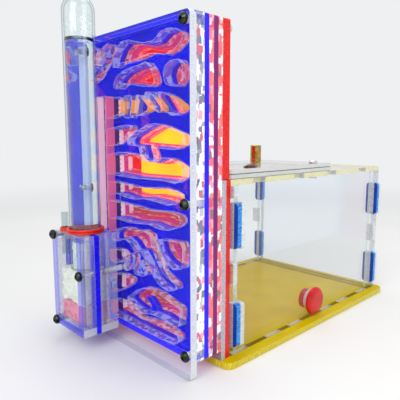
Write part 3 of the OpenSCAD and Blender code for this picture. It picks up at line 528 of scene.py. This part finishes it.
nestSponge = {"voxel": 0.55, "soften": 3, "lumps": 500, "depth": 0.35}
blockSponge = {"voxel": 0.6, "soften": 4, "lumps": 450, "depth": 0.5}
wad = {"voxel": 0.6, "soften": 8, "lumps": 260, "depth": 1.3}
mouthWad = {"voxel": 0.5, "soften": 4, "lumps": 350, "depth": 0.5}
softPiece("nestSpongeBar", "hydration_bar", nestSponge, pinkSponge, "habitat")
softPiece("blockSpongePad", "pink_sponge", blockSponge, pinkSponge, "habitat")
softPiece("blockCottonWad", "cotton_wad", wad, whiteCotton, "habitat")
softPiece("tubeCottonPlug", "tube_cotton", mouthWad, whiteCotton, "tube")
print("sponge and cotton shaped")


def spun(outlines, centre, steps, closed):
    # an outline's points are (radius, height) in mm, round a closed ring or from the axis back to it
    mesh = bmesh.new()
    for outline in outlines:
        points = [mesh.verts.new((centre[0] + r * mm, centre[1], z * mm)) for r, z in outline]
        ends = [(points[-1], points[0])] if closed else []
        edges = [mesh.edges.new(pair) for pair in ends + list(zip(points, points[1:]))]
        bmesh.ops.spin(mesh, geom=points + edges, cent=(centre[0], centre[1], 0), axis=(0, 0, 1),
                       angle=math.tau, steps=steps, use_merge=True)
    bmesh.ops.remove_doubles(mesh, verts=mesh.verts, dist=0.002 * mm)
    bmesh.ops.recalc_face_normals(mesh, faces=mesh.faces)
    return mesh


# Water in the tube: corners of its foot and its head, out from the glass and up in mm, and the meniscus under
# the air, by shares of the radius
waterShape = {"gap": 0.02, "foot": [(-0.5, 0), (-0.12, 0.1), (0, 0.5), (0, 1.5)],
              "head": [(0, -1.5), (0, -0.4), (-0.02, 0)], "meniscus": 1.8, "curl": 4,
              "shares": (0.05, 0.12, 0.22, 0.4, 0.65, 1), "steps": 64}


def makeWater(look):
    low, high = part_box("tube_water")
    centre = ((low.x + high.x) / 2, (low.y + high.y) / 2)
    radius = (high.x - low.x) / 2 / mm - look["gap"]
    bottom, top, dip = low.z / mm + look["gap"], high.z / mm, look["meniscus"]
    outline = [(0, bottom)]
    outline += [(radius + across, bottom + up) for across, up in look["foot"]]
    outline += [(radius + across, top + up) for across, up in look["head"]]
    outline += [(radius * (1 - t), top - dip * (1 - (1 - t) ** look["curl"])) for t in look["shares"]]
    mesh = spun([outline], centre, look["steps"], closed=False)
    piece = addPiece("tubeWaterColumn", mesh, cleanWater, "tube")
    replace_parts(piece, "tube_water")
    return centre, radius, top


tubeCentre, waterRadius, waterTop = makeWater(waterShape)

# Condensation on the glass above the water, and fine air bubbles on the wall below it. Both keep clear of
# the tube's ends and of the water's surface
dropShape = {"above": 150, "below": 170, "small": 0.12, "large": 0.42, "bubble": 0.55, "seed": 7,
             "overWater": 1, "underDome": 10, "overMouth": 18, "underWater": 2, "gap": 0.1, "sunk": 0.3,
             "flat": 0.5, "tall": 1.3}


def makeDrops(look, centre, radius, top):
    pick = random.Random(look["seed"])
    low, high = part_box("test_tube")
    airSpan = (top + look["overWater"], high.z / mm - look["underDome"])
    waterSpan = (low.z / mm + look["overMouth"], top - look["underWater"])
    mesh = bmesh.new()
    for i in range(look["above"] + look["below"]):
        turn = pick.uniform(0, math.tau)
        above = i < look["above"]
        height = pick.uniform(*(airSpan if above else waterSpan))
        size = pick.uniform(look["small"], look["large"]) * (1 if above else look["bubble"])
        reach = radius - look["gap"] - size * look["sunk"]
        place = Matrix.Translation((centre[0] + math.cos(turn) * reach * mm,
                                    centre[1] + math.sin(turn) * reach * mm, height * mm))
        stretch = Matrix.Diagonal((look["flat"], 1, pick.uniform(1, look["tall"]), 1))
        bmesh.ops.create_icosphere(mesh, subdivisions=1, radius=size * mm,
                                   matrix=place @ (Matrix.Rotation(turn, 4, "Z") @ stretch))
    addPiece("tubeDroplets", mesh, dropWater, "tube")


makeDrops(dropShape, tubeCentre, waterRadius, waterTop)

# Two silicone O-rings stacked round the tube where it enters the block
ringShape = {"rings": 2, "sides": 20, "gap": 0.06, "steps": 72}


def makeRings(look):
    low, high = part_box("tube_seal")
    centre = ((low.x + high.x) / 2, (low.y + high.y) / 2)
    outside = (high.x - low.x) / 2 / mm
    tubeLow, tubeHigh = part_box("test_tube")
    inside = (tubeHigh.x - tubeLow.x) / 2 / mm + look["gap"]
    middle, wide = (outside + inside) / 2, (outside - inside) / 2
    tall = (high.z - low.z) / mm / look["rings"] / 2
    levels = [low.z / mm + tall * (2 * i + 1) for i in range(look["rings"])]
    turns = [math.tau * k / look["sides"] for k in range(look["sides"])]
    outlines = [[(middle + wide * math.cos(a), level + tall * math.sin(a)) for a in turns]
                for level in levels]
    mesh = spun(outlines, centre, look["steps"], closed=True)
    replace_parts(addPiece("tubeSealRings", mesh, orangeSilicone, "habitat"), "tube_seal")


makeRings(ringShape)
print("water, droplets and rings made")

# Stage and light
floorLook = {"size": 40.0, "tone": "#f1f1ef", "shade": "#e9e9e7", "near": 0.3, "far": 0.95, "drop": 0.0002}
backdropTone = "#eef0f2"


def makeFloor(look):
    # pale paper, which fades into the backdrop's own tone away from the object
    made, tree = newMaterial("paperSweep")
    place = objectPlace(tree)
    soft = put(tree, "ShaderNodeTexNoise", {"Vector": place, "Scale": 3.0})
    tone = put(tree, "ShaderNodeValToRGB", {"Fac": soft}, [(0.3, look["shade"]), (0.7, look["tone"])])
    paper = put(tree, "ShaderNodeBsdfPrincipled", {"Base Color": tone, "Roughness": 0.8})
    away = put(tree, "ShaderNodeVectorMath", {0: place}, operation="LENGTH").outputs["Value"]
    fade = put(tree, "ShaderNodeMapRange", {0: away, 1: look["near"], 2: look["far"]},
               interpolation_type="SMOOTHSTEP")
    glow = put(tree, "ShaderNodeEmission", {"Color": colour(backdropTone)})
    finished(made, put(tree, "ShaderNodeMixShader", {0: fade, 1: paper, 2: glow}))
    mesh = bmesh.new()
    bmesh.ops.create_grid(mesh, x_segments=1, y_segments=1, size=look["size"] / 2,
                          matrix=Matrix.Translation((0, 0, -look["drop"])))
    data = bpy.data.meshes.new("floor")
    mesh.to_mesh(data)
    mesh.free()
    data.materials.append(made)
    floor = bpy.data.objects.new("floor", data)
    scene.collection.objects.link(floor)


makeFloor(floorLook)

lampAim = Vector((0, 0, 0.07))
lampSet = {
    "front": {"place": (0.35, -0.9, 0.75), "size": 0.8, "power": 7.4},
    "side": {"place": (0.95, 0.25, 0.6), "size": 0.7, "power": 3.6},
    "over": {"place": (-0.2, 0.2, 1.1), "size": 0.9, "power": 5.4},
}
for name, lamp in lampSet.items():
    data = bpy.data.lights.new(name, "AREA")
    data.energy, data.size = lamp["power"], lamp["size"]
    light = bpy.data.objects.new(name, data)
    light.location = lamp["place"]
    light.rotation_mode = "QUATERNION"
    light.rotation_quaternion = (lampAim - light.location).to_track_quat("-Z", "Y")
    scene.collection.objects.link(light)

# The world lights the object more softly than the backdrop that is seen
worldLook = {"tone": "#eef1f4", "strength": 0.45}


def makeWorld(look):
    world = bpy.data.worlds.new("studio")
    scene.world = world
    world.use_nodes = True
    tree = world.node_tree
    tree.nodes.clear()
    path = put(tree, "ShaderNodeLightPath").outputs
    seen = put(tree, "ShaderNodeMath", {0: path["Is Camera Ray"], 1: path["Is Glossy Ray"]},
               operation="MAXIMUM")
    seen = put(tree, "ShaderNodeMath", {0: seen, 1: path["Is Transmission Ray"]}, operation="MAXIMUM")
    lit = put(tree, "ShaderNodeBackground", {"Color": colour(look["tone"]), "Strength": look["strength"]})
    shown = put(tree, "ShaderNodeBackground", {"Color": colour(backdropTone), "Strength": 1.0})
    mixed = put(tree, "ShaderNodeMixShader", {0: seen, 1: lit, 2: shown})
    put(tree, "ShaderNodeOutputWorld", {"Surface": mixed})


makeWorld(worldLook)
scene.view_settings.view_transform = "Standard"
scene.cycles.transparent_max_bounces = 64
scene.cycles.max_bounces = 24
scene.cycles.transmission_bounces = 24
scene.cycles.glossy_bounces = 6
print("stage, lamps and world set")
